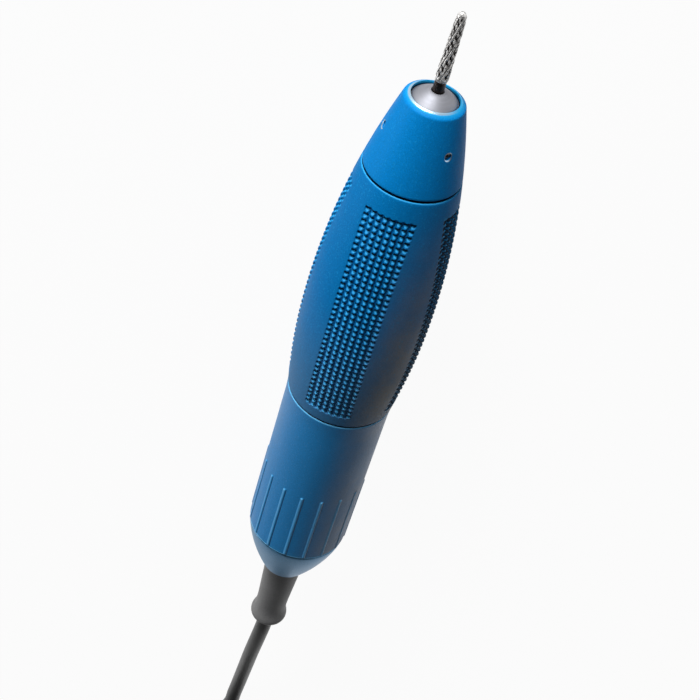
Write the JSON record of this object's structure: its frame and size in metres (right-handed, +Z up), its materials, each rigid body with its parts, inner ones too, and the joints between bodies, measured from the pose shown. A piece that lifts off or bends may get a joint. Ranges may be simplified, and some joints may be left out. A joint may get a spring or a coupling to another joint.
{
  "type": "rotary tool handpiece with lead",
  "caption": "Hand-held micromotor rotary tool: knurled twist-release grip, ribbed rear barrel, collet with a carbide burr, and a slim lead tied in a hank with its plug.",
  "frame": {"origin": "on the surface the tool lies on, below its axis, midway between the tip of the bend relief and the tip of the burr; the lead is not counted", "axes": "+X along the tool towards the burr, +Z up, +Y to the left of a holder looking along +X"},
  "size_m": [0.3884, 0.0391, 0.0308],
  "materials": {
    "blue_anodised": "satin anodised blue",
    "grey_blue_anodised": "satin",
    "steel": "fine turned",
    "dark_steel": "dull",
    "brass": "bright",
    "copper": "lacquered",
    "magnet": "dull",
    "black_rubber": "matt",
    "lead_sheath": "satin silicone",
    "coupling_elastomer": "matt",
    "black_plastic": "moulded",
    "carbon": "dull",
    "board": "satin",
    "tie_fabric": "woven hook and loop"
  },
  "bodies": {
    "housing": {"rear_barrel": "blue_anodised", "end_cap": "grey_blue_anodised", "cord_boot": "black_rubber", "lead_inlet": "lead_sheath", "lead_ferrule": "brass", "terminal_board": "board", "motor_leads": "copper", "motor_can": "dark_steel", "motor_magnets": "magnet", "brush_plate": "black_plastic", "brushes": "carbon", "brush_springs": "steel", "motor_bushes": "brass", "spindle_housing": "steel", "bearing_nut": "dark_steel", "front_bearing_outers": "steel", "rear_bearing_outer": "steel", "bearing_spacers": "steel", "preload_washer": "steel", "bearing_circlip": "dark_steel", "nose_cone": "blue_anodised", "nose_screws": "dark_steel", "sleeve_seals": "black_rubber", "detent_ball": "steel", "detent_spring": "steel", "cord": "lead_sheath", "cord_hank": "lead_sheath", "hank_tie": "tie_fabric", "plug_boot": "black_rubber", "plug_body": "dark_steel", "plug_shell": "steel", "plug_insert": "black_plastic", "plug_pins": "brass"},
    "rotor": {"motor_shaft": "steel", "armature_core": "dark_steel", "armature_windings": "copper", "commutator": "copper", "motor_coupling": "steel", "coupling_spider": "coupling_elastomer"},
    "spindle": {"spindle": "steel", "spindle_coupling": "steel", "spring_stop": "brass", "draw_spring": "steel", "front_bearing_inners": "steel", "rear_bearing_inner": "steel", "dust_disc": "steel"},
    "front_cages": {"front_ball_cages": "brass"},
    "rear_cage": {"rear_ball_cage": "brass"},
    "collet": {"collet": "steel", "draw_bar": "dark_steel", "draw_pin": "steel"},
    "burr": {"burr_shank": "dark_steel", "burr_head": "steel"},
    "grip": {"grip_sleeve": "blue_anodised", "cam_liner": "steel", "sleeve_bushes": "brass"},
    "release": {"release_ring": "brass", "thrust_collar": "steel"},
    "lock_ring": {"plug_ring": "steel"}
  },
  "joints": [
    {"name": "rotor_spin", "type": "hinge", "parent": "housing", "child": "rotor", "pos_m": [-0.0325, 0, 0.0142], "axis": [1, 0, 0], "continuous": true},
    {"name": "spindle_spin", "type": "hinge", "parent": "housing", "child": "spindle", "pos_m": [0.0375, 0, 0.0142], "axis": [1, 0, 0], "continuous": true},
    {"name": "front_cage_turn", "type": "hinge", "parent": "housing", "child": "front_cages", "pos_m": [0.054, 0, 0.0142], "axis": [1, 0, 0], "continuous": true},
    {"name": "rear_cage_turn", "type": "hinge", "parent": "housing", "child": "rear_cage", "pos_m": [0.0076, 0, 0.0142], "axis": [1, 0, 0], "continuous": true},
    {"name": "sleeve_twist", "type": "hinge", "parent": "housing", "child": "grip", "pos_m": [0.0275, 0, 0.0142], "axis": [1, 0, 0], "range_deg": [0, 60]},
    {"name": "release_travel", "type": "slide", "parent": "housing", "child": "release", "axis": [1, 0, 0], "range_m": [0, 0.0012]},
    {"name": "collet_travel", "type": "slide", "parent": "spindle", "child": "collet", "axis": [1, 0, 0], "range_m": [0, 0.001]},
    {"name": "burr_pull", "type": "slide", "parent": "collet", "child": "burr", "axis": [1, 0, 0], "range_m": [0, 0.03]},
    {"name": "lock_ring_turn", "type": "hinge", "parent": "housing", "child": "lock_ring", "pos_m": [-0.225, -0.0024, 0.024], "axis": [1, 0, 0], "range_deg": [0, 90]}
  ],
  "couplings": [
    {"joint": "spindle_spin", "follows": "rotor_spin", "ratio": 1},
    {"joint": "front_cage_turn", "follows": "rotor_spin", "ratio": 0.4136},
    {"joint": "rear_cage_turn", "follows": "rotor_spin", "ratio": 0.4},
    {"joint": "release_travel", "follows": "sleeve_twist", "m_per_rad": 0.001145},
    {"joint": "collet_travel", "follows": "sleeve_twist", "m_per_rad": 0.00095}
  ]
}
